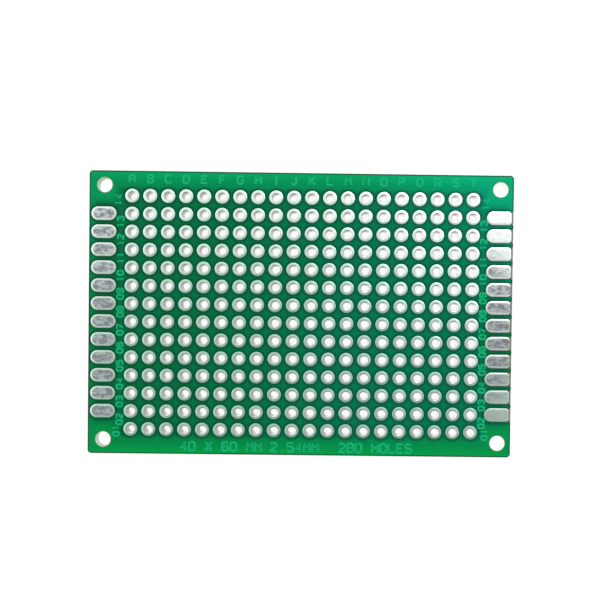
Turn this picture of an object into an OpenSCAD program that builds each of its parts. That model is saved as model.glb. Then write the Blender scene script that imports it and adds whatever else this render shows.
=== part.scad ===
// Double-sided prototype board: a drilled laminate with a grid of plated holes,
// a row of solder pads along each short edge, and solder mask on both faces.
// The board lies flat, X along its length, its underside on Z = 0.

/* [Board] */
// Length of the board
board_length = 60; // [41:1:90]
// Width of the board
board_width = 40; // [24:1:70]
// Thickness of the bare laminate
laminate_thickness = 1.5; // [0.6:0.1:3.1]
// Radius of the board's four corners
corner_radius = 0.5; // [0.1:0.1:1]

/* [Plated holes] */
// Distance from each hole to the next, along and across the board
pitch = 2.54; // [2.4:0.01:5.08]
// Finished diameter of a plated hole
hole_diameter = 1; // [0.7:0.05:1.2]
// Diameter of the solder ring around a hole
ring_diameter = 1.95; // [1.7:0.05:2.2]
// Wall of the plating inside a hole
barrel_wall = 0.05; // [0.03:0.01:0.08]
// Radius of the plating where it turns into the hole
mouth_radius = 0.12; // [0.06:0.01:0.14]
// Strip kept free of rings along each long edge, for the column letters
letter_strip = 2.3; // [1.5:0.1:4]
// Least strip kept free between the edge pads and the rings, where the row numbers stand
number_strip = 0.3; // [0.3:0.05:2]
// How far all the drilled holes stand right of the middle of the board's sawn outline
drilling_shift = 0.15; // [0:0.05:0.3]

/* [Edge pads] */
// Width of an edge pad, across the board
pad_width = 1.9; // [1.4:0.1:2.2]
// Length of the pads at the left edge
left_pad_length = 3.5; // [2.4:0.1:5]
// Distance of the left pads from the board's edge
left_pad_inset = 0.3; // [0.1:0.05:0.8]
// Length of the pads at the right edge
right_pad_length = 3.5; // [2.4:0.05:5]
// Bare laminate between the right pads and the board's edge
right_pad_inset = 0.25; // [0.1:0.05:0.8]
// Corner radius of the right pads, at the board's edge
pad_corner_radius = 0.45; // [0.35:0.05:0.7]

/* [Solder and mask] */
// Height of rings and pads above the laminate
pad_height = 0.05; // [0.04:0.01:0.12]
// Height of the straight copper wall at the rim of rings and pads
rim_height = 0.015; // [0.01:0.005:0.03]
// Width of the rounded shoulder inside that rim
shoulder_width = 0.3; // [0.1:0.05:0.35]
// Thickness of the solder mask
mask_thickness = 0.03; // [0.01:0.01:0.06]
// Gap between the solder mask and what it leaves free
mask_clearance = 0.06; // [0.03:0.01:0.1]

/* [Corner holes] */
// Diameter of the four unplated corner holes
corner_hole_diameter = 2.15; // [1.6:0.05:3]
// Distance of each corner hole's centre from the two edges beside it, before the drilling's shift
corner_hole_inset = 2; // [1.7:0.1:3]

/* [Hidden] */
$fn = 48;
shoulder_steps = 4;
mouth_steps = 3;
laminate_color = "#c8c69c";
mask_color = "#04784b";
tin_color = "#c6cbce";

hole_radius = hole_diameter / 2;
drill_radius = hole_radius + barrel_wall;
ring_radius = ring_diameter / 2;
ring_shoulder = min(shoulder_width, ring_radius - hole_radius - mouth_radius);
corner_hole_radius = corner_hole_diameter / 2;
board_thickness = laminate_thickness + 2 * pad_height;
laminate_bottom = pad_height;
laminate_top = laminate_bottom + laminate_thickness;

// As many holes as fit between the edge pads, and between the two letter strips
pad_room = max(left_pad_inset + left_pad_length, right_pad_inset + right_pad_length);
column_room = board_length - 2 * (pad_room + number_strip + drilling_shift + ring_radius);
columns = floor(column_room / pitch) + 1;
rows = floor((board_width - 2 * (letter_strip + ring_radius)) / pitch) + 1;
last_column = columns - 1;
last_row = rows - 1;
letters = "abcdefghijklmnopqrstuvwxyz";

function column_x(column) = drilling_shift + (column - last_column / 2) * pitch;
function row_y(row) = (row - last_row / 2) * pitch;
function column_node(column) = str("hole_plating_", letters[column]);

// Places

module at_column_holes(column) {
    for (row = [0 : last_row])
        translate([column_x(column), row_y(row)])
            children();
}

module at_all_holes() {
    for (column = [0 : last_column])
        at_column_holes(column)
            children();
}

module at_corner_holes() {
    for (side = [-1, 1], end = [-1, 1])
        translate([
            drilling_shift + end * (board_length / 2 - corner_hole_inset),
            side * (board_width / 2 - corner_hole_inset)
        ])
            children();
}

// The corner holes stand in the first and last rows, so those rows have no edge pads
module at_left_pads() {
    for (row = [1 : last_row - 1])
        translate([left_pad_inset - board_length / 2, row_y(row)])
            children();
}

module at_right_pads() {
    for (row = [1 : last_row - 1])
        translate([board_length / 2 - right_pad_inset - right_pad_length, row_y(row)])
            children();
}

// Turns what is made for the top face over to the underside
module on_underside() {
    translate([0, 0, board_thickness])
        mirror([0, 0, 1])
            children();
}

// Flat outlines

module rounded_rectangle(length, width, radius) {
    square([length, width - 2 * radius], center = true);
    square([length - 2 * radius, width], center = true);
    for (x = [-1, 1], y = [-1, 1])
        translate([x * (length / 2 - radius), y * (width / 2 - radius)])
            circle(r = radius);
}

// A bar with one full-round end, at x = 0, that runs on to the given length
module round_ended_bar(length, width) {
    translate([width / 2, 0])
        circle(d = width);
    translate([width / 2, -width / 2])
        square([length - width / 2, width]);
}

module left_pad_window() {
    grown_width = pad_width + 2 * mask_clearance;
    translate([-mask_clearance, 0])
        round_ended_bar(left_pad_length + 2 * mask_clearance - grown_width / 2, grown_width);
    translate([left_pad_length + mask_clearance, 0])
        mirror([1, 0])
            round_ended_bar(grown_width, grown_width);
}

// This window runs out over the board's edge and leaves a strip of laminate bare
module right_pad_window() {
    translate([-mask_clearance, 0])
        round_ended_bar(
            right_pad_length + right_pad_inset + 2 * mask_clearance,
            pad_width + 2 * mask_clearance
        );
}

// Outline of solder on copper from its rim in to its flat top, standing on y = 0:
// a straight copper wall, then a shoulder that rolls over on a wide arc
function shoulder_outline(reach, shoulder) =
    let (
        drop = pad_height - rim_height,
        roll_radius = (shoulder * shoulder + drop * drop) / (2 * drop),
        roll_angle = asin(shoulder / roll_radius)
    )
    concat(
        [[reach, 0]],
        [for (step = [0 : shoulder_steps])
            let (angle = roll_angle * (1 - step / shoulder_steps))
            [
                reach - shoulder + roll_radius * sin(angle),
                pad_height - roll_radius * (1 - cos(angle))
            ]
        ]
    );

// Outline of the plating where it turns from the ring's flat top down into the hole
function mouth_outline() = [
    for (step = [0 : mouth_steps])
        let (angle = 90 * step / mouth_steps)
        [
            hole_radius + mouth_radius * (1 - sin(angle)),
            pad_height - mouth_radius * (1 - cos(angle))
        ]
];

// A plated hole's outline above the board's middle, from the drilled wall round to the hole
function plated_hole_outline() = [
    for (point = concat(
        [[drill_radius, 0]],
        shoulder_outline(ring_radius, ring_shoulder),
        mouth_outline()
    ))
        [point.x, point.y + laminate_thickness / 2]
];

// The same points below the middle, in the order that carries the outline back
function below_middle(points) = [
    for (i = [len(points) - 1 : -1 : 0])
        [points[i].x, -points[i].y]
];

// Pieces

module laminate() {
    color(laminate_color)
        translate([0, 0, laminate_bottom])
            linear_extrude(laminate_thickness)
                difference() {
                    rounded_rectangle(board_length, board_width, corner_radius);
                    at_all_holes()
                        circle(r = drill_radius);
                    at_corner_holes()
                        circle(r = corner_hole_radius);
                }
}

module solder_mask_top() {
    color(mask_color)
        translate([0, 0, laminate_top])
            linear_extrude(mask_thickness)
                difference() {
                    rounded_rectangle(board_length, board_width, corner_radius);
                    at_all_holes()
                        circle(r = ring_radius + mask_clearance);
                    at_corner_holes()
                        circle(r = corner_hole_radius + mask_clearance);
                    at_left_pads()
                        left_pad_window();
                    at_right_pads()
                        right_pad_window();
                }
}

module solder_mask_bottom() {
    on_underside()
        solder_mask_top();
}

module plated_hole() {
    upper = plated_hole_outline();
    rotate_extrude()
        polygon(concat(upper, below_middle(upper)));
}

module plated_column(column) {
    color(tin_color)
        translate([0, 0, board_thickness / 2])
            at_column_holes(column)
                plated_hole();
}

// Solder from a pad's middle line out to its rim, as a flat outline
module solder_half_section(reach) {
    polygon(concat([[0, 0]], shoulder_outline(reach, shoulder_width), [[0, pad_height]]));
}

// A straight edge of solder along Y, centred on y = 0, its rim on the +X side
module solder_edge(length, reach) {
    translate([0, length / 2, 0])
        rotate([90, 0, 0])
            linear_extrude(length)
                solder_half_section(reach);
}

// The same section turned through an angle about Z, for a round end or a corner
module solder_turn(reach, start, angle) {
    rotate([0, 0, start])
        rotate_extrude(angle = angle)
            solder_half_section(reach);
}

// Both long sides of a pad and its round inner end, from x = 0 to x = length
module pad_with_round_end(length) {
    straight = length - pad_width / 2;
    for (side = [-90, 90])
        translate([pad_width / 2 + straight / 2, 0, 0])
            rotate([0, 0, side])
                solder_edge(straight, pad_width / 2);
    translate([pad_width / 2, 0, 0])
        solder_turn(pad_width / 2, 90, 180);
}

module left_pad() {
    pad_with_round_end(left_pad_length - pad_width / 2);
    translate([left_pad_length - pad_width / 2, 0, 0])
        solder_turn(pad_width / 2, -90, 180);
}

module right_pad() {
    corner_x = right_pad_length - pad_corner_radius;
    corner_y = pad_width / 2 - pad_corner_radius;
    pad_with_round_end(corner_x);
    translate([corner_x, 0, 0])
        solder_edge(2 * corner_y, pad_corner_radius);
    translate([corner_x, corner_y, 0])
        solder_turn(pad_corner_radius, 0, 90);
    translate([corner_x, -corner_y, 0])
        solder_turn(pad_corner_radius, -90, 90);
}

module edge_pads_top_left() {
    color(tin_color)
        translate([0, 0, laminate_top])
            at_left_pads()
                left_pad();
}

module edge_pads_top_right() {
    color(tin_color)
        translate([0, 0, laminate_top])
            at_right_pads()
                right_pad();
}

module edge_pads_bottom_left() {
    on_underside()
        edge_pads_top_left();
}

module edge_pads_bottom_right() {
    on_underside()
        edge_pads_top_right();
}

laminate();
solder_mask_top();
solder_mask_bottom();
edge_pads_top_left();
edge_pads_top_right();
edge_pads_bottom_left();
edge_pads_bottom_right();
for (column = [0 : last_column])
    plated_column(column);
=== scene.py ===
import math

import bmesh
import bpy
from mathutils import Matrix, Vector


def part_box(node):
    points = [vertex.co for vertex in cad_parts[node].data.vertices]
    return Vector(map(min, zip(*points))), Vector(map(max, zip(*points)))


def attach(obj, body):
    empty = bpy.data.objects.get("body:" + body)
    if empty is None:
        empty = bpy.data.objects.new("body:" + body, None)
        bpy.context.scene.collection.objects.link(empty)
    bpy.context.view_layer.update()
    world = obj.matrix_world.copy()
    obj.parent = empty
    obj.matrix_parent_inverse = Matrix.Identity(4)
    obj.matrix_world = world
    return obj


# Prototype board, 60 x 40 mm, lying on a white table and seen from straight above
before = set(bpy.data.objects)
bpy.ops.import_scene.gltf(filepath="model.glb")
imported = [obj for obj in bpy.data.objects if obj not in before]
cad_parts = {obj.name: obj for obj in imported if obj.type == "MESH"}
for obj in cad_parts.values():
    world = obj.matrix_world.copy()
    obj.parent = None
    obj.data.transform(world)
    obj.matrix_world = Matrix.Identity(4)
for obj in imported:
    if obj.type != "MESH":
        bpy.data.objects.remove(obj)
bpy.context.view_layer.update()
mm = 0.001
smooth = {"interpolation_type": "SMOOTHSTEP"}

columnLetters = "abcdefghijklmnopqrst"
platingNodes = ["hole_plating_" + letter for letter in columnLetters]
padNodes = ["edge_pads_top_left", "edge_pads_top_right", "edge_pads_bottom_left", "edge_pads_bottom_right"]
maskNodes = ["solder_mask_top", "solder_mask_bottom"]

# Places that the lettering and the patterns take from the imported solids
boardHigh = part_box("laminate")[1]
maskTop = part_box("solder_mask_top")[1].z
firstColumnLow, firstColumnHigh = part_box(platingNodes[0])
ringRadius = (firstColumnHigh.x - firstColumnLow.x) / 2
firstColumnX = firstColumnLow.x + ringRadius
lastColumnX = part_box(platingNodes[-1])[0].x + ringRadius
topRowY = firstColumnHigh.y - ringRadius
bottomRowY = firstColumnLow.y + ringRadius
rowCount = 14
gridMiddleX = (firstColumnX + lastColumnX) / 2
pitch = (lastColumnX - firstColumnX) / (len(platingNodes) - 1)
leftPadLow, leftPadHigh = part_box("edge_pads_top_left")
rightPadLow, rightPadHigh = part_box("edge_pads_top_right")
padRadius = (leftPadHigh.y - leftPadLow.y - (rowCount - 3) * pitch) / 2

# Sizes that the boxes don't show
holeRadius = 0.5 * mm
cornerHoleX = 28 * mm
cornerHoleY = 18 * mm
cornerHoleRadius = 1.075 * mm


# Helpers for materials

def linearColor(hexText):
    channels = [int(hexText[i:i + 2], 16) / 255 for i in (1, 3, 5)]
    return [c / 12.92 if c <= 0.04045 else ((c + 0.055) / 1.055) ** 2.4 for c in channels] + [1.0]


def addNode(tree, kind, inputs=None, **settings):
    # An input is a plain value, an sRGB hex colour or another node's output. By number, MapRange
    # takes its value at 0, a span at 1 and 2 and what that becomes at 3 and 4, and Mix takes its
    # share at 0, two numbers at 2 and 3 and two colours at 6 and 7
    node = tree.nodes.new("ShaderNode" + kind)
    for name, value in settings.items():
        setattr(node, name, value)
    for name, value in (inputs or {}).items():
        if isinstance(value, bpy.types.NodeSocket):
            tree.links.new(value, node.inputs[name])
        else:
            node.inputs[name].default_value = linearColor(value) if isinstance(value, str) else value
    return node


def newMaterial(name):
    material = bpy.data.materials.new(name)
    material.use_nodes = True
    tree = material.node_tree
    tree.nodes.clear()
    place = addNode(tree, "TexCoord").outputs["Object"]
    axes = addNode(tree, "SeparateXYZ", {0: place}).outputs
    return material, tree, place, axes


def finishMaterial(tree, inputs):
    shader = addNode(tree, "BsdfPrincipled", inputs)
    addNode(tree, "OutputMaterial", {"Surface": shader.outputs["BSDF"]})


def awayFromNearest(tree, place, start, step, low, high):
    # From the nearest of a grid of places to each point, seen from above, and how far that is
    fromStart = addNode(
        tree, "VectorMath", {0: place, 1: (1, 1, 0), 2: (-start[0], -start[1], 0)}, operation="MULTIPLY_ADD"
    ).outputs[0]
    moved = addNode(tree, "VectorMath", {0: fromStart, 1: (step[0] / 2, step[1] / 2, 0)}, operation="ADD")
    snapped = addNode(tree, "VectorMath", {0: moved.outputs[0], 1: (step[0], step[1], 1)}, operation="SNAP")
    raised = addNode(tree, "VectorMath", {0: snapped.outputs[0], 1: (low[0], low[1], 0)}, operation="MAXIMUM")
    nearest = addNode(
        tree, "VectorMath", {0: raised.outputs[0], 1: (high[0], high[1], 0)}, operation="MINIMUM"
    )
    away = addNode(tree, "VectorMath", {0: fromStart, 1: nearest.outputs[0]}, operation="SUBTRACT").outputs[0]
    return away, addNode(tree, "VectorMath", {0: away}, operation="LENGTH").outputs["Value"]


def awayFromHole(tree, place):
    last = ((len(platingNodes) - 1) * pitch, (rowCount - 1) * pitch)
    return awayFromNearest(tree, place, (firstColumnX, bottomRowY), (pitch, pitch), (0, 0), last)


def distanceToCornerHole(tree, place):
    last = (2 * cornerHoleX, 2 * cornerHoleY)
    return awayFromNearest(tree, place, (gridMiddleX - cornerHoleX, -cornerHoleY), last, (0, 0), last)[1]


def distanceToPad(tree, place):
    # Each pad is as its middle line, whose X runs on without steps; the end rows have no pads
    start, step, lastY = (0, bottomRowY + pitch), (0.001 * mm, pitch), (rowCount - 3) * pitch
    lineStart, lineEnd = leftPadLow.x + padRadius, leftPadHigh.x - padRadius
    left = awayFromNearest(tree, place, start, step, (lineStart, 0), (lineEnd, lastY))[1]
    lineStart, lineEnd = rightPadLow.x + padRadius, rightPadHigh.x - padRadius / 2
    right = awayFromNearest(tree, place, start, step, (lineStart, 0), (lineEnd, lastY))[1]
    return addNode(tree, "Math", {0: left, 1: right}, operation="MINIMUM").outputs[0]


def dress(node, material):
    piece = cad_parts[node]
    piece.data.materials.clear()
    piece.data.materials.append(material)


# Solder mask: cured epoxy ink, glossy, with painted light in its colour: painted light in the margins,
# as if light came up through the bare laminate, and towards the lamp, and painted shade beside each
# ring and pad. Spans without mm count in ring radii
solderMask = {
    "fieldLeft": "#016D41",
    "fieldRight": "#01754D",
    "fieldPaintedLampLight": "#018666",
    "topMargin": "#01A05E",
    "marginPaintedLampLight": "#02B077",
    "bottomMargin": "#019947",
    "paintedEdgeShade": "#07452E",
    "paintedEdgeShadeSpan": (-0.24 * mm, -0.08 * mm),
    "pastRingsSpan": (0.7, 1.5),
    "pastRingsShare": 0.44,
    "nearEdgeShare": 0.56,
    "pastColumnsSpan": (1.2, 2.6),
    "pastColumnsShare": 0.7,
    "pastPadsSpan": (-1.7, 0.2),
    "shortEdgeSpan": (-1.5 * mm, -0.4 * mm),
    "shortEdgeShare": 0.5,
    "upwardsSpan": (-12 * mm, 14 * mm),
    "rightwardsSpan": (-20 * mm, 16 * mm),
    "paintedLampLightSpan": (24 * mm, 46 * mm),
    "besideOpeningShade": 0.5,
    "ringShadeWidth": 0.65,
    "padShadeWidth": 0.85,
    "roughness": 0.13,
    "specularLevel": 0.05,
    "grainMm": 0.16,
    "grainShades": (0.84, 1.16),
    "wavesMm": 1.6,
    "wavesShare": 0.15,
    "ridgeMm": 0.03,
    "ridgeTop": 1.25,
    "ridgeEnd": 1.5,
    "ridgeFall": -0.6,
}


def inkWithPaintedLight(tree, axes):
    alongX = addNode(tree, "Math", {0: axes["X"]}, operation="ABSOLUTE").outputs[0]
    alongY = addNode(tree, "Math", {0: axes["Y"]}, operation="ABSOLUTE").outputs[0]
    # The long margins' painted light begins just past the rings and brightens to the edge
    start, middle = (topRowY + radii * ringRadius for radii in solderMask["pastRingsSpan"])
    share = solderMask["pastRingsShare"]
    pastRings = addNode(tree, "MapRange", {0: alongY, 1: start, 2: middle, 4: share}, **smooth)
    share = solderMask["nearEdgeShare"]
    nearEdge = addNode(tree, "MapRange", {0: alongY, 1: middle, 2: boardHigh.y, 4: share}, **smooth)
    longMargin = addNode(tree, "Math", {0: pastRings.outputs[0], 1: nearEdge.outputs[0]}, operation="ADD")
    # The short ones get painted light only above and below the pads and in a narrow line at the very edge
    start, end = (lastColumnX + radii * ringRadius for radii in solderMask["pastColumnsSpan"])
    share = solderMask["pastColumnsShare"]
    pastColumns = addNode(tree, "MapRange", {0: alongX, 1: start, 2: end, 4: share}, **smooth)
    start, end = (topRowY + radii * ringRadius for radii in solderMask["pastPadsSpan"])
    pastPads = addNode(tree, "MapRange", {0: alongY, 1: start, 2: end}, **smooth)
    corner = addNode(tree, "Math", {0: pastColumns.outputs[0], 1: pastPads.outputs[0]}, operation="MULTIPLY")
    start, end = (boardHigh.x + inwards for inwards in solderMask["shortEdgeSpan"])
    share = solderMask["shortEdgeShare"]
    shortEdge = addNode(tree, "MapRange", {0: alongX, 1: start, 2: end, 4: share}, **smooth)
    paintedBrightness = addNode(tree, "Math", {0: corner.outputs[0], 1: shortEdge.outputs[0]}, operation="MAXIMUM")
    margin = addNode(tree, "Math", {0: longMargin.outputs[0], 1: paintedBrightness.outputs[0]}, operation="MAXIMUM")
    # Painted lamp light: the field lighter to the right, the margins lighter at the top, and both lighter
    # again towards the upper right corner, beyond which the lamp stands
    start, end = solderMask["upwardsSpan"]
    upwards = addNode(tree, "MapRange", {0: axes["Y"], 1: start, 2: end}, **smooth).outputs[0]
    start, end = solderMask["rightwardsSpan"]
    rightwards = addNode(tree, "MapRange", {0: axes["X"], 1: start, 2: end}, **smooth).outputs[0]
    diagonal = addNode(tree, "Math", {0: axes["X"], 1: axes["Y"]}, operation="ADD").outputs[0]
    start, end = solderMask["paintedLampLightSpan"]
    paintedLampLight = addNode(tree, "MapRange", {0: diagonal, 1: start, 2: end}, **smooth).outputs[0]
    field = addNode(
        tree, "Mix", {0: rightwards, 6: solderMask["fieldLeft"], 7: solderMask["fieldRight"]},
        data_type="RGBA",
    )
    field = addNode(
        tree, "Mix", {0: paintedLampLight, 6: field.outputs[2], 7: solderMask["fieldPaintedLampLight"]}, data_type="RGBA"
    )
    edge = addNode(
        tree, "Mix", {0: upwards, 6: solderMask["bottomMargin"], 7: solderMask["topMargin"]}, data_type="RGBA"
    )
    edge = addNode(
        tree, "Mix", {0: paintedLampLight, 6: edge.outputs[2], 7: solderMask["marginPaintedLampLight"]}, data_type="RGBA"
    )
    ink = addNode(
        tree, "Mix", {0: margin.outputs[0], 6: field.outputs[2], 7: edge.outputs[2]}, data_type="RGBA"
    )
    return ink.outputs[2], alongX, alongY


def makeSolderMask():
    material, tree, place, axes = newMaterial("solderMaskGlossyInk")
    ink, alongX, alongY = inkWithPaintedLight(tree, axes)
    # Painted shade: a dark line runs round the board along the sawn edge
    start, end = solderMask["paintedEdgeShadeSpan"]
    lineX = addNode(
        tree, "MapRange", {0: alongX, 1: boardHigh.x + start, 2: boardHigh.x + end}, **smooth
    )
    lineY = addNode(
        tree, "MapRange", {0: alongY, 1: boardHigh.y + start, 2: boardHigh.y + end}, **smooth
    )
    line = addNode(tree, "Math", {0: lineX.outputs[0], 1: lineY.outputs[0]}, operation="MAXIMUM")
    edged = addNode(
        tree, "Mix", {0: line.outputs[0], 6: ink, 7: solderMask["paintedEdgeShade"]}, data_type="RGBA"
    )
    fromHole = awayFromHole(tree, place)[1]
    fromPad = distanceToPad(tree, place)
    # Painted shade beside each ring and pad, darkest at the opening
    shade, ringShadeEnd = solderMask["besideOpeningShade"], (1 + solderMask["ringShadeWidth"]) * ringRadius
    padShadeEnd = (1 + solderMask["padShadeWidth"]) * padRadius
    ringShade = addNode(tree, "MapRange", {0: fromHole, 1: ringRadius, 2: ringShadeEnd, 3: shade}, **smooth)
    padShade = addNode(tree, "MapRange", {0: fromPad, 1: padRadius, 2: padShadeEnd, 3: shade}, **smooth)
    openingShade = addNode(tree, "Math", {0: ringShade.outputs[0], 1: padShade.outputs[0]}, operation="MINIMUM")
    scale = 1 / (solderMask["grainMm"] * mm)
    grain = addNode(tree, "TexNoise", {"Vector": place, "Scale": scale, "Detail": 3.0})
    darkest, lightest = solderMask["grainShades"]
    speckle = addNode(tree, "MapRange", {0: grain.outputs["Fac"], 3: darkest, 4: lightest})
    level = addNode(tree, "Math", {0: openingShade.outputs[0], 1: speckle.outputs[0]}, operation="MULTIPLY")
    color = addNode(
        tree, "VectorMath", {0: edged.outputs[2], "Scale": level.outputs[0]}, operation="SCALE"
    ).outputs[0]
    # The ink stands up in a low ridge round each opening, which catches the lamp
    fromOpening = addNode(tree, "Math", {0: fromHole, 1: fromPad}, operation="MINIMUM").outputs[0]
    top, end = solderMask["ridgeTop"] * ringRadius, solderMask["ridgeEnd"] * ringRadius
    rise = addNode(tree, "MapRange", {0: fromOpening, 1: ringRadius, 2: top}, **smooth)
    fall = addNode(
        tree, "MapRange", {0: fromOpening, 1: top, 2: end, 4: solderMask["ridgeFall"]}, **smooth
    )
    ridge = addNode(tree, "Math", {0: rise.outputs[0], 1: fall.outputs[0]}, operation="ADD")
    scale = 1 / (solderMask["wavesMm"] * mm)
    waves = addNode(tree, "TexNoise", {"Vector": place, "Scale": scale, "Detail": 3.0})
    relief = addNode(
        tree, "Math", {0: waves.outputs["Fac"], 1: solderMask["wavesShare"], 2: ridge.outputs[0]},
        operation="MULTIPLY_ADD",
    )
    bump = addNode(tree, "Bump", {"Distance": solderMask["ridgeMm"] * mm, "Height": relief.outputs[0]})
    finishMaterial(tree, {
        "Base Color": color,
        "Roughness": solderMask["roughness"],
        "Specular IOR Level": solderMask["specularLevel"],
        "Normal": bump.outputs["Normal"],
    })
    return material


# Lettering: copper strokes under the same ink, which lie a hair higher and shine through lighter
lettering = {
    "glow": "#1AB87B",
    "glowShares": (0.45, 0.86),
    "patchMm": 0.5,
    "patchSpan": (0.25, 0.6),
    "roughness": 0.16,
    "strokeWidth": 0.29 * mm,
    "strokeHeight": 0.008 * mm,
    "columnHeight": 1.05 * mm,
    "columnWidth": 0.78 * mm,
    "columnMiddleY": 18.9 * mm,
    "rowHeight": 0.85 * mm,
    "rowWidth": 0.56 * mm,
    "rowStep": 0.88 * mm,
    "rowDrop": 1.2 * mm,
    "rowShifts": {1: (0.45 * mm, 0.9 * mm), 14: (0.3 * mm, 0.6 * mm)},
    "leftRowX": -25.72 * mm,
    "rightRowX": 25.68 * mm,
    "lineBottomY": -19.5 * mm,
    "lineHeight": 1.22 * mm,
    "lineWidth": 0.84 * mm,
    "lineStep": 1.18 * mm,
    "lineWords": [("40 X 60 MM", -17.0 * mm), ("2.54MM", -4.2 * mm), ("280 HOLES", 5.5 * mm)],
}

# Each sign is a few strokes on a field 4 wide and 6 high
strokes = {
    "A": [[(0, 0), (0, 4.2), (1, 5.6), (2, 6), (3, 5.6), (4, 4.2), (4, 0)], [(0, 2.6), (4, 2.6)]],
    "B": [[(0, 0), (0, 6), (3, 6), (4, 5.2), (4, 4), (3, 3.2), (0, 3.2)],
          [(3, 3.2), (4, 2.4), (4, 0.8), (3, 0), (0, 0)]],
    "C": [[(4, 5), (3, 6), (1, 6), (0, 5), (0, 1), (1, 0), (3, 0), (4, 1)]],
    "D": [[(0, 0), (0, 6), (2.6, 6), (4, 4.6), (4, 1.4), (2.6, 0), (0, 0)]],
    "E": [[(4, 6), (0, 6), (0, 0), (4, 0)], [(0, 3.1), (3, 3.1)]],
    "F": [[(4, 6), (0, 6), (0, 0)], [(0, 3.1), (3, 3.1)]],
    "G": [[(4, 5), (3, 6), (1, 6), (0, 5), (0, 1), (1, 0), (3, 0), (4, 1), (4, 2.8), (2.4, 2.8)]],
    "H": [[(0, 0), (0, 6)], [(4, 0), (4, 6)], [(0, 3.1), (4, 3.1)]],
    "I": [[(1, 6), (3, 6)], [(2, 6), (2, 0)], [(1, 0), (3, 0)]],
    "J": [[(3.4, 6), (3.4, 1), (2.5, 0), (1, 0), (0.2, 1)]],
    "K": [[(0, 0), (0, 6)], [(4, 6), (0, 2.4)], [(1.4, 3.6), (4, 0)]],
    "L": [[(0, 6), (0, 0), (4, 0)]],
    "M": [[(0, 0), (0, 6), (2, 3), (4, 6), (4, 0)]],
    "N": [[(0, 0), (0, 6), (4, 0), (4, 6)]],
    "O": [[(1, 0), (0, 1), (0, 5), (1, 6), (3, 6), (4, 5), (4, 1), (3, 0), (1, 0)]],
    "P": [[(0, 0), (0, 6), (3, 6), (4, 5.2), (4, 3.7), (3, 2.9), (0, 2.9)]],
    "Q": [[(1, 0), (0, 1), (0, 5), (1, 6), (3, 6), (4, 5), (4, 1), (3, 0), (1, 0)], [(2.4, 1.8), (4, 0)]],
    "R": [[(0, 0), (0, 6), (3, 6), (4, 5.2), (4, 3.7), (3, 2.9), (0, 2.9)], [(2, 2.9), (4, 0)]],
    "S": [[(4, 5), (3, 6), (1, 6), (0, 5), (0, 4), (1, 3.2), (3, 2.9),
           (4, 2.1), (4, 1), (3, 0), (1, 0), (0, 1)]],
    "T": [[(0, 6), (4, 6)], [(2, 6), (2, 0)]],
    "X": [[(0, 0), (4, 6)], [(0, 6), (4, 0)]],
    "0": [[(1, 0), (0, 1), (0, 5), (1, 6), (3, 6), (4, 5), (4, 1), (3, 0), (1, 0)]],
    "1": [[(1, 5), (2, 6), (2, 0)]],
    "2": [[(0, 5), (1, 6), (3, 6), (4, 5), (4, 3.9), (0, 0.6), (0, 0), (4, 0)]],
    "3": [[(0, 5.2), (1, 6), (3, 6), (4, 5.2), (4, 4), (3, 3.2), (1.6, 3.2)],
          [(3, 3.2), (4, 2.4), (4, 0.8), (3, 0), (1, 0), (0, 0.8)]],
    "4": [[(3, 0), (3, 6), (0, 2), (4, 2)]],
    "5": [[(4, 6), (0, 6), (0, 3.5), (3, 3.5), (4, 2.6), (4, 1), (3, 0), (1, 0), (0, 0.8)]],
    "6": [[(4, 5.2), (3, 6), (1, 6), (0, 5), (0, 1), (1, 0), (3, 0), (4, 1), (4, 2.4), (3, 3.3), (0, 3.3)]],
    "7": [[(0, 6), (4, 6), (1.4, 0)]],
    "8": [[(1, 3.2), (0, 4), (0, 5.2), (1, 6), (3, 6), (4, 5.2), (4, 4), (3, 3.2), (1, 3.2)],
          [(1, 3.2), (0, 2.4), (0, 0.8), (1, 0), (3, 0), (4, 0.8), (4, 2.4), (3, 3.2)]],
    "9": [[(0, 0.8), (1, 0), (3, 0), (4, 1), (4, 5), (3, 6), (1, 6), (0, 5), (0, 3.6), (1, 2.8), (4, 2.8)]],
    ".": [[(1.7, 0), (2.3, 0)]],
    " ": [],
}


def makeStrokeMaterial():
    material, tree, place, axes = newMaterial("copperStrokesUnderInk")
    ink = inkWithPaintedLight(tree, axes)[0]
    scale = 1 / (lettering["patchMm"] * mm)
    clouds = addNode(tree, "TexNoise", {"Vector": place, "Scale": scale, "Detail": 3.0})
    (start, end), (least, most) = lettering["patchSpan"], lettering["glowShares"]
    share = addNode(
        tree, "MapRange", {0: clouds.outputs["Fac"], 1: start, 2: end, 3: least, 4: most}, **smooth
    )
    color = addNode(tree, "Mix", {0: share.outputs[0], 6: ink, 7: lettering["glow"]}, data_type="RGBA")
    finishMaterial(tree, {
        "Base Color": color.outputs[2],
        "Roughness": lettering["roughness"],
        "Specular IOR Level": solderMask["specularLevel"],
    })
    return material


def addSign(curve, sign, corner, width, height, turned):
    # corner is the sign's lower left, as it reads; turned signs read upwards
    for stroke in strokes[sign]:
        spline = curve.splines.new("POLY")
        spline.points.add(len(stroke) - 1)
        for point, (across, up) in zip(spline.points, stroke):
            x, y = across / 4 * width, up / 6 * height
            if turned:
                x, y = -y, x
            point.co = (corner[0] + x, corner[1] + y, 0, 1)


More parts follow.
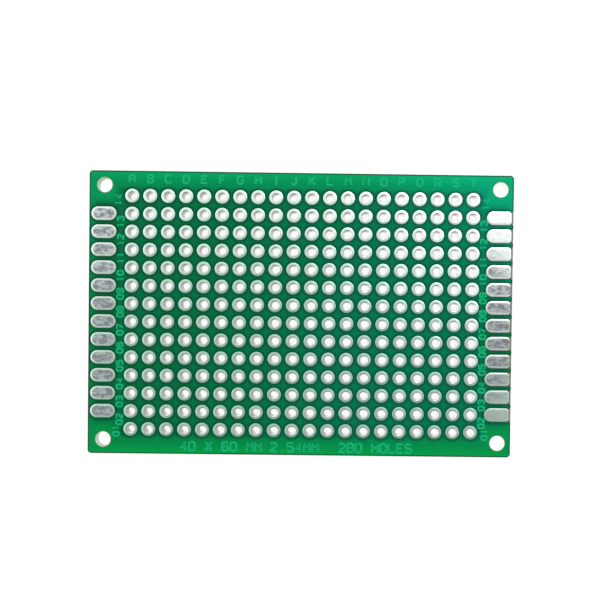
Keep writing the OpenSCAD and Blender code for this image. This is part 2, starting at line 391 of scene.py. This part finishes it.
def makeLettering(material):
    curve = bpy.data.curves.new("letteringStrokes", "CURVE")
    curve.dimensions = "3D"
    curve.bevel_depth = lettering["strokeWidth"] / 2
    curve.bevel_resolution = 1
    curve.use_fill_caps = True
    for column, letter in enumerate(columnLetters.upper()):
        x = firstColumnX + column * pitch - lettering["columnWidth"] / 2
        y = lettering["columnMiddleY"] - lettering["columnHeight"] / 2
        addSign(curve, letter, (x, y), lettering["columnWidth"], lettering["columnHeight"], False)
    length = lettering["rowStep"] + lettering["rowWidth"]
    for row in range(1, rowCount + 1):
        # The first and last numbers stand a little further out and up
        outward, upward = lettering["rowShifts"].get(row, (0, 0))
        rowY = bottomRowY + (row - 1) * pitch - lettering["rowDrop"] + upward
        for fromMiddle in (lettering["leftRowX"] - outward, lettering["rightRowX"] + outward):
            x = gridMiddleX + fromMiddle
            for place, digit in enumerate("%02d" % row):
                corner = (x + lettering["rowHeight"] / 2, rowY - length / 2 + place * lettering["rowStep"])
                addSign(curve, digit, corner, lettering["rowWidth"], lettering["rowHeight"], True)
    for words, startX in lettering["lineWords"]:
        for place, sign in enumerate(words):
            corner = (gridMiddleX + startX + place * lettering["lineStep"], lettering["lineBottomY"])
            addSign(curve, sign, corner, lettering["lineWidth"], lettering["lineHeight"], False)
    tube = bpy.data.objects.new("letteringTube", curve)
    bpy.context.scene.collection.objects.link(tube)
    bpy.context.view_layer.update()
    mesh = bpy.data.meshes.new_from_object(tube.evaluated_get(bpy.context.evaluated_depsgraph_get()))
    bpy.data.objects.remove(tube)
    # The round strokes are pressed flat and set into the mask's surface
    flatten = Matrix.Diagonal((1, 1, lettering["strokeHeight"] / (lettering["strokeWidth"] / 2), 1))
    mesh.transform(Matrix.Translation((0, 0, maskTop)) @ flatten)
    mesh.materials.clear()
    mesh.materials.append(material)
    for polygon in mesh.polygons:
        polygon.use_smooth = False
    piece = bpy.data.objects.new("lettering", mesh)
    bpy.context.scene.collection.objects.link(piece)
    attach(piece, "root")
    return piece


# Line round each corner hole: one more copper stroke under the mask
holeLine = {"radius": 1.45 * mm, "width": 0.18 * mm, "height": 0.012 * mm, "sunk": -0.3, "steps": 40}


def makeHoleLines(material):
    build = bmesh.new()
    half, foot = holeLine["width"] / 2, holeLine["sunk"]
    section = [(-half, foot), (-half, 0.4), (-half / 2, 1), (half / 2, 1), (half, 0.4), (half, foot)]
    for sideX in (-1, 1):
        for sideY in (-1, 1):
            middle = Vector((gridMiddleX + sideX * cornerHoleX, sideY * cornerHoleY, maskTop))
            corners = [
                build.verts.new(middle + Vector((holeLine["radius"] + across, 0, up * holeLine["height"])))
                for across, up in section
            ]
            edges = [build.edges.new(pair) for pair in zip(corners, corners[1:] + corners[:1])]
            bmesh.ops.spin(
                build, geom=corners + edges, cent=middle, axis=(0, 0, 1), angle=math.tau,
                steps=holeLine["steps"], use_merge=True,
            )
    bmesh.ops.remove_doubles(build, verts=build.verts, dist=0.0001 * mm)
    bmesh.ops.recalc_face_normals(build, faces=build.faces)
    mesh = bpy.data.meshes.new("cornerHoleLines")
    build.to_mesh(mesh)
    build.free()
    mesh.materials.append(material)
    piece = bpy.data.objects.new("cornerHoleLines", mesh)
    bpy.context.scene.collection.objects.link(piece)
    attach(piece, "root")
    return piece


# Laminate: woven glass in epoxy, matt and pale where it is sawn or drilled, greyer on its faces,
# with painted shade, dark green, in the narrow gap that the ink leaves round each ring and pad, and a
# painted green reflection of the mask and a painted glow in the walls of the corner holes, the glow
# stronger nearer the lamp
laminate = {
    "resin": "#6F6C59",
    "glass": "#8E8B78",
    "sawnResin": "#E9E9DE",
    "sawnGlass": "#FAFBF5",
    "gap": "#07402C",
    "gapSpan": (1.15, 1.1),
    "stripGap": 0.08 * mm,
    "layerMm": 0.19,
    "bandsPerScale": 0.31,
    "yarnMm": 0.5,
    "roughness": 0.6,
    "bumpStrength": 0.3,
    "bumpDistance": 0.03 * mm,
    "wallSpan": (0.75, 0.2),
    "drilledSpan": (1.1, 1.02),
    "drilled": "#B4CFB8",
    "paintedGlowSpan": (-20 * mm, 20 * mm),
    "paintedGlowLevels": (0.14, 0.42),
}


def makeLaminate():
    material, tree, place, axes = newMaterial("glassEpoxyLaminate")
    scale = laminate["bandsPerScale"] / (laminate["layerMm"] * mm)
    layers = addNode(
        tree, "TexWave",
        {"Vector": place, "Scale": scale, "Distortion": 0.6, "Detail": 2.0, "Detail Scale": 4.0},
        wave_type="BANDS", bands_direction="Z",
    )
    yarn = addNode(
        tree, "TexNoise", {"Vector": place, "Scale": 1 / (laminate["yarnMm"] * mm), "Detail": 4.0}
    ).outputs["Fac"]
    face = addNode(tree, "Mix", {0: yarn, 6: laminate["resin"], 7: laminate["glass"]}, data_type="RGBA")
    weave = addNode(tree, "Math", {0: layers.outputs["Fac"], 1: yarn}, operation="MULTIPLY").outputs[0]
    sawn = addNode(
        tree, "Mix", {0: weave, 6: laminate["sawnResin"], 7: laminate["sawnGlass"]}, data_type="RGBA"
    )
    fromHole = awayFromHole(tree, place)[1]
    fromPad = distanceToPad(tree, place)
    # Painted shade in the narrow gap round each ring and pad
    start, end = laminate["gapSpan"]
    inRing = addNode(tree, "MapRange", {0: fromHole, 1: start * ringRadius, 2: end * ringRadius}, **smooth)
    inPad = addNode(tree, "MapRange", {0: fromPad, 1: start * padRadius, 2: end * padRadius}, **smooth)
    start = rightPadHigh.x + laminate["stripGap"]
    beforeStrip = addNode(tree, "MapRange", {0: axes["X"], 1: start, 2: rightPadHigh.x}, **smooth)
    besidePad = addNode(tree, "Math", {0: inPad.outputs[0], 1: beforeStrip.outputs[0]}, operation="MULTIPLY")
    inGap = addNode(tree, "Math", {0: inRing.outputs[0], 1: besidePad.outputs[0]}, operation="MAXIMUM")
    top = addNode(
        tree, "Mix", {0: inGap.outputs[0], 6: face.outputs[2], 7: laminate["gap"]}, data_type="RGBA"
    )
    normal = addNode(tree, "NewGeometry").outputs["Normal"]
    upright = addNode(tree, "SeparateXYZ", {0: normal}).outputs["Z"]
    level = addNode(tree, "Math", {0: upright}, operation="ABSOLUTE").outputs[0]
    start, end = laminate["wallSpan"]
    wall = addNode(tree, "MapRange", {0: level, 1: start, 2: end}, **smooth).outputs[0]
    color = addNode(tree, "Mix", {0: wall, 6: top.outputs[2], 7: sawn.outputs[2]}, data_type="RGBA")
    # In the corner holes' walls, a painted glow, standing in for light through the glass and stronger to the
    # right, and a painted green reflection of the mask
    fromCornerHole = distanceToCornerHole(tree, place)
    start, end = (radii * cornerHoleRadius for radii in laminate["drilledSpan"])
    inside = addNode(tree, "MapRange", {0: fromCornerHole, 1: start, 2: end}, **smooth)
    paintedLightShare = addNode(tree, "Math", {0: inside.outputs[0], 1: wall}, operation="MULTIPLY")
    (start, end), (least, most) = laminate["paintedGlowSpan"], laminate["paintedGlowLevels"]
    light = addNode(tree, "MapRange", {0: axes["X"], 1: start, 2: end, 3: least, 4: most})
    through = addNode(tree, "Math", {0: paintedLightShare.outputs[0], 1: light.outputs[0]}, operation="MULTIPLY")
    color = addNode(
        tree, "Mix", {0: paintedLightShare.outputs[0], 6: color.outputs[2], 7: laminate["drilled"]}, data_type="RGBA"
    )
    strength, distance = laminate["bumpStrength"], laminate["bumpDistance"]
    bump = addNode(tree, "Bump", {"Strength": strength, "Distance": distance, "Height": yarn})
    finishMaterial(tree, {
        "Base Color": color.outputs[2],
        "Roughness": laminate["roughness"],
        "Emission Color": laminate["sawnGlass"],
        "Emission Strength": through.outputs[0],
        "Normal": bump.outputs["Normal"],
    })
    return material


# Tin on copper, dipped and blown level with hot air, with painted light in its colour: painted dimness
# with a painted green reflection of the mask in the middle of the board, a painted highlight towards
# the lamp, painted shade in the holes with a painted lit side towards the window, and grey mottling in
# the middle of the pads, a painted dark reflection on the uneven tin. Spans without mm count in radii
# of the ring, pad or hole, and those named spots in the noise's own level
tinnedCopper = {
    "paintedDimness": "#BCD8CB",
    "paintedBrightness": "#F6FFFB",
    "rimPaintedShadeAndReflection": "#E4FFF6",
    "paintedDarkReflection": "#8E9098",
    "holeWithPaintedShade": "#B6B1AD",
    "holeWithPaintedLight": "#FFFFFF",
    "upperSpan": (-2 * mm, 23 * mm),
    "upperPaintedDimness": 0.1,
    "padPaintedDimness": 0.85,
    "rightSpan": (9 * mm, 39 * mm),
    "mottleLength": (0.6, 1, 1),
    "mottleMm": 0.55,
    "padFlatSpan": (0.84, 0.62),
    "padSpots": (0.4, 0.58),
    "leastSpan": (-20 * mm, 20 * mm),
    "leastMottle": (0.3, 0.5),
    "upperRightSpan": (32 * mm, 39 * mm),
    "upperRightMottle": 0.06,
    "lowerRightSpan": (34 * mm, 43 * mm),
    "lowerRightMottle": 0.3,
    "ringSpots": (0.5, 0.7),
    "ringMottle": 0.3,
    "rimSpan": (0.7, 0.92),
    "paintedLightTowards": (0.91, -0.41, 0),
    "paintedLightSpan": (-0.5, 0.7),
    "sunkSpan": (1.34, 1.14),
    "roughnesses": (0.26, 0.42),
    "cloudMm": 0.7,
    "cloudSpan": (0.2, 0.8),
    "padBump": 0.7,
    "ringBump": 0.5,
    "bumpDistance": 0.03 * mm,
}


def tinWithPaintedLight(tree, axes, mostPaintedDimness):
    # Painted dimness away from the lamp and painted highlight near it, in y and along the diagonal to the
    # upper right corner
    diagonal = addNode(tree, "Math", {0: axes["X"], 1: axes["Y"]}, operation="ADD").outputs[0]
    (start, end), least = tinnedCopper["upperSpan"], tinnedCopper["upperPaintedDimness"]
    upper = addNode(
        tree, "MapRange", {0: axes["Y"], 1: start, 2: end, 3: mostPaintedDimness, 4: least}, **smooth
    )
    start, end = tinnedCopper["rightSpan"]
    right = addNode(tree, "MapRange", {0: diagonal, 1: start, 2: end, 3: 1, 4: 0}, **smooth)
    paintedDimness = addNode(tree, "Math", {0: upper.outputs[0], 1: right.outputs[0]}, operation="MULTIPLY").outputs[0]
    color = addNode(
        tree, "Mix", {0: paintedDimness, 6: tinnedCopper["paintedBrightness"], 7: tinnedCopper["paintedDimness"]}, data_type="RGBA"
    )
    return color.outputs[2], diagonal, paintedDimness


def makeTin(name, isPad):
    material, tree, place, axes = newMaterial(name)
    tin, diagonal, paintedDimness = tinWithPaintedLight(tree, axes, tinnedCopper["padPaintedDimness"] if isPad else 1)
    # Grey mottling: a painted dark reflection on the uneven tin, most in the pads' flat middles
    long = addNode(
        tree, "VectorMath", {0: place, 1: tinnedCopper["mottleLength"]}, operation="MULTIPLY"
    ).outputs[0]
    mottleNoise = addNode(
        tree, "TexNoise",
        {"Vector": long if isPad else place, "Scale": 1 / (tinnedCopper["mottleMm"] * mm), "Detail": 5.0,
         "Roughness": 0.65, "Distortion": 0.8},
    ).outputs["Fac"]
    clouds = addNode(
        tree, "TexNoise",
        {"Vector": place, "Scale": 1 / (tinnedCopper["cloudMm"] * mm), "Detail": 4.0, "Roughness": 0.6},
    ).outputs["Fac"]
    if isPad:
        fromPad = distanceToPad(tree, place)
        start, end = (radii * padRadius for radii in tinnedCopper["padFlatSpan"])
        flat = addNode(tree, "MapRange", {0: fromPad, 1: start, 2: end}, **smooth)
        # The painted dark reflection is weaker on the pads nearest the lamp and in the lower right, and lies
        # more evenly on the right ones
        away = addNode(tree, "Math", {0: axes["X"], 1: axes["Y"]}, operation="SUBTRACT").outputs[0]
        (start, end), least = tinnedCopper["upperRightSpan"], tinnedCopper["upperRightMottle"]
        upper = addNode(tree, "MapRange", {0: diagonal, 1: start, 2: end, 3: 1, 4: least}, **smooth)
        (start, end), least = tinnedCopper["lowerRightSpan"], tinnedCopper["lowerRightMottle"]
        lower = addNode(tree, "MapRange", {0: away, 1: start, 2: end, 3: 1, 4: least}, **smooth)
        mottleByCorner = addNode(tree, "Math", {0: upper.outputs[0], 1: lower.outputs[0]}, operation="MINIMUM")
        (start, end), (leftmost, rightmost) = tinnedCopper["leastSpan"], tinnedCopper["leastMottle"]
        least = addNode(
            tree, "MapRange", {0: axes["X"], 1: start, 2: end, 3: leftmost, 4: rightmost}
        ).outputs[0]
        start, end = tinnedCopper["padSpots"]
        spots = addNode(tree, "MapRange", {0: mottleNoise, 1: start, 2: end, 3: least}, **smooth)
        inFlat = addNode(tree, "Math", {0: flat.outputs[0], 1: mottleByCorner.outputs[0]}, operation="MULTIPLY")
        share = addNode(tree, "Math", {0: spots.outputs[0], 1: inFlat.outputs[0]}, operation="MULTIPLY")
        color = addNode(
            tree, "Mix", {0: share.outputs[0], 6: tin, 7: tinnedCopper["paintedDarkReflection"]}, data_type="RGBA"
        ).outputs[2]
    else:
        away, fromHole = awayFromHole(tree, place)
        # Painted shade and painted green reflection of the mask round each ring's rim
        start, end = (radii * ringRadius for radii in tinnedCopper["rimSpan"])
        rim = addNode(tree, "MapRange", {0: fromHole, 1: start, 2: end}, **smooth)
        withRimShadeAndReflection = addNode(
            tree, "Mix", {0: rim.outputs[0], 6: tin, 7: tinnedCopper["rimPaintedShadeAndReflection"]}, data_type="RGBA",
            blend_type="MULTIPLY",
        )
        # Painted dark reflection in spots on the rings, only where the painted dimness is
        (start, end), most = tinnedCopper["ringSpots"], tinnedCopper["ringMottle"]
        spots = addNode(tree, "MapRange", {0: mottleNoise, 1: start, 2: end, 4: most}, **smooth)
        share = addNode(tree, "Math", {0: spots.outputs[0], 1: paintedDimness}, operation="MULTIPLY")
        face = addNode(
            tree, "Mix", {0: share.outputs[0], 6: withRimShadeAndReflection.outputs[2], 7: tinnedCopper["paintedDarkReflection"]},
            data_type="RGBA",
        )
        # Painted shade on the hole walls and mouths, with a painted lit side towards the window, to the right
        towards = addNode(
            tree, "VectorMath", {0: away, 1: tinnedCopper["paintedLightTowards"]}, operation="DOT_PRODUCT"
        ).outputs["Value"]
        start, end = (radii * holeRadius for radii in tinnedCopper["paintedLightSpan"])
        paintedLightShare = addNode(tree, "MapRange", {0: towards, 1: start, 2: end}, **smooth)
        holeWithPaintedShade = addNode(
            tree, "Mix", {0: paintedLightShare.outputs[0], 6: tinnedCopper["holeWithPaintedShade"], 7: tinnedCopper["holeWithPaintedLight"]},
            data_type="RGBA",
        )
        start, end = (radii * holeRadius for radii in tinnedCopper["sunkSpan"])
        sunk = addNode(tree, "MapRange", {0: fromHole, 1: start, 2: end}, **smooth)
        color = addNode(
            tree, "Mix", {0: sunk.outputs[0], 6: face.outputs[2], 7: holeWithPaintedShade.outputs[2]}, data_type="RGBA"
        ).outputs[2]
    (start, end), (smoothest, roughest) = tinnedCopper["cloudSpan"], tinnedCopper["roughnesses"]
    roughness = addNode(
        tree, "MapRange", {0: clouds, 1: start, 2: end, 3: smoothest, 4: roughest}, **smooth
    )
    strength = tinnedCopper["padBump"] if isPad else tinnedCopper["ringBump"]
    distance = tinnedCopper["bumpDistance"]
    bump = addNode(tree, "Bump", {"Strength": strength, "Distance": distance, "Height": clouds})
    finishMaterial(tree, {
        "Base Color": color,
        "Metallic": 1.0,
        "Roughness": roughness.outputs[0],
        "Normal": bump.outputs["Normal"],
    })
    return material


# White table and soft light all round: a bright wall at the left, the dark side at the front and
# a softbox behind the board, which the tin mirrors most in the upper right
studio = {
    "tableSize": 0.8,
    "tableColor": "#F3F3F3",
    "tableRoughness": 0.9,
    "tableWhite": 1.04,
    "tableGlow": 0.9,
    "paperMm": 0.3,
    "paperBump": (0.05, 0.02 * mm),
    "skyLevel": 0.92,
    "patches": [
        {"towards": (0, -0.35, 1), "start": 36, "end": 22, "level": 0.58},
        {"towards": (-1, 0.1, 0.45), "start": 50, "end": 22, "level": 1.6},
        {"towards": (0.1, -1, 0.4), "start": 55, "end": 25, "level": 0.3},
    ],
    "softboxPlace": (170 * mm, 245 * mm, 370 * mm),
    "softboxSize": (300 * mm, 180 * mm),
    "softboxLevel": 3.0,
}


def makeTable():
    build = bmesh.new()
    bmesh.ops.create_grid(build, x_segments=1, y_segments=1, size=studio["tableSize"] / 2)
    mesh = bpy.data.meshes.new("table")
    build.to_mesh(mesh)
    build.free()
    material, tree, place, axes = newMaterial("whiteTable")
    paper = addNode(tree, "TexNoise", {"Vector": place, "Scale": 1 / (studio["paperMm"] * mm)})
    strength, distance = studio["paperBump"]
    bump = addNode(
        tree, "Bump", {"Strength": strength, "Distance": distance, "Height": paper.outputs["Fac"]}
    )
    matt = addNode(tree, "BsdfPrincipled", {
        "Base Color": studio["tableColor"],
        "Roughness": studio["tableRoughness"],
        "Normal": bump.outputs["Normal"],
    })
    # The eye, mirrors and glass see the table as the photo's white ground, and the rest its shadow
    rays = addNode(tree, "LightPath").outputs
    seen = addNode(tree, "Math", {0: rays["Is Camera Ray"], 1: rays["Is Glossy Ray"]}, operation="MAXIMUM")
    through = addNode(tree, "Math", {0: seen.outputs[0], 1: rays["Is Transmission Ray"]}, operation="MAXIMUM")
    share = addNode(tree, "Math", {0: through.outputs[0], 1: studio["tableGlow"]}, operation="MULTIPLY")
    white = addNode(tree, "Emission", {"Color": "#FFFFFF", "Strength": studio["tableWhite"]})
    surface = addNode(tree, "MixShader", {0: share.outputs[0], 1: matt.outputs[0], 2: white.outputs[0]})
    addNode(tree, "OutputMaterial", {"Surface": surface.outputs[0]})
    mesh.materials.append(material)
    table = bpy.data.objects.new("table", mesh)
    bpy.context.scene.collection.objects.link(table)


def makeSky():
    world = bpy.data.worlds.new("softStudio")
    bpy.context.scene.world = world
    world.use_nodes = True
    tree = world.node_tree
    tree.nodes.clear()
    direction = addNode(tree, "TexCoord").outputs["Generated"]
    level = studio["skyLevel"]
    for patch in studio["patches"]:
        axis = tuple(Vector(patch["towards"]).normalized())
        nearness = addNode(tree, "VectorMath", {0: direction, 1: axis}, operation="DOT_PRODUCT")
        start, end = (math.cos(math.radians(patch[name])) for name in ("start", "end"))
        share = addNode(
            tree, "MapRange", {0: nearness.outputs["Value"], 1: start, 2: end}, **smooth
        ).outputs[0]
        level = addNode(tree, "Mix", {0: share, 2: level, 3: patch["level"]}, data_type="FLOAT").outputs[0]
    seen = addNode(tree, "LightPath").outputs["Is Camera Ray"]
    strength = addNode(tree, "Mix", {0: seen, 2: level, 3: 1.0}, data_type="FLOAT").outputs[0]
    light = addNode(tree, "Background", {"Color": "#FFFFFF", "Strength": strength})
    addNode(tree, "OutputWorld", {"Surface": light.outputs[0]})


def makeSoftbox():
    lamp = bpy.data.lights.new("softbox", "AREA")
    lamp.shape = "RECTANGLE"
    lamp.size, lamp.size_y = studio["softboxSize"]
    lamp.energy = studio["softboxLevel"] * math.pi * lamp.size * lamp.size_y
    box = bpy.data.objects.new("softbox", lamp)
    bpy.context.scene.collection.objects.link(box)
    box.location = studio["softboxPlace"]
    box.rotation_euler = Vector(studio["softboxPlace"]).to_track_quat("Z", "Y").to_euler()


# Camera over the middle of the board, turned and shifted as the photo is framed
camera = {
    "place": (3.409 * mm, -0.586 * mm, 109.6 * mm),
    "turn": (-0.834, -0.399, 0.701),
    "lens": 45.695,
    "sensorWidth": 36,
    "shift": (-0.05, 0.05),
    "clipStart": 1 * mm,
}


def makeCamera():
    lens = bpy.data.cameras.new("camera")
    lens.lens = camera["lens"]
    lens.sensor_width = camera["sensorWidth"]
    lens.shift_x, lens.shift_y = camera["shift"]
    lens.clip_start = camera["clipStart"]
    holder = bpy.data.objects.new("camera", lens)
    bpy.context.scene.collection.objects.link(holder)
    holder.location = camera["place"]
    holder.rotation_euler = [math.radians(angle) for angle in camera["turn"]]
    bpy.context.scene.camera = holder


print("materials")
maskMaterial = makeSolderMask()
dress("laminate", makeLaminate())
for node in maskNodes:
    dress(node, maskMaterial)
padMaterial = makeTin("tinnedEdgePads", True)
for node in padNodes:
    dress(node, padMaterial)
platingMaterial = makeTin("tinnedHolePlating", False)
for node in platingNodes:
    dress(node, platingMaterial)

print("lettering")
makeLettering(makeStrokeMaterial())
makeHoleLines(maskMaterial)

print("table, light and camera")
makeTable()
makeSky()
makeSoftbox()
makeCamera()
bpy.context.scene.view_settings.view_transform = "Standard"
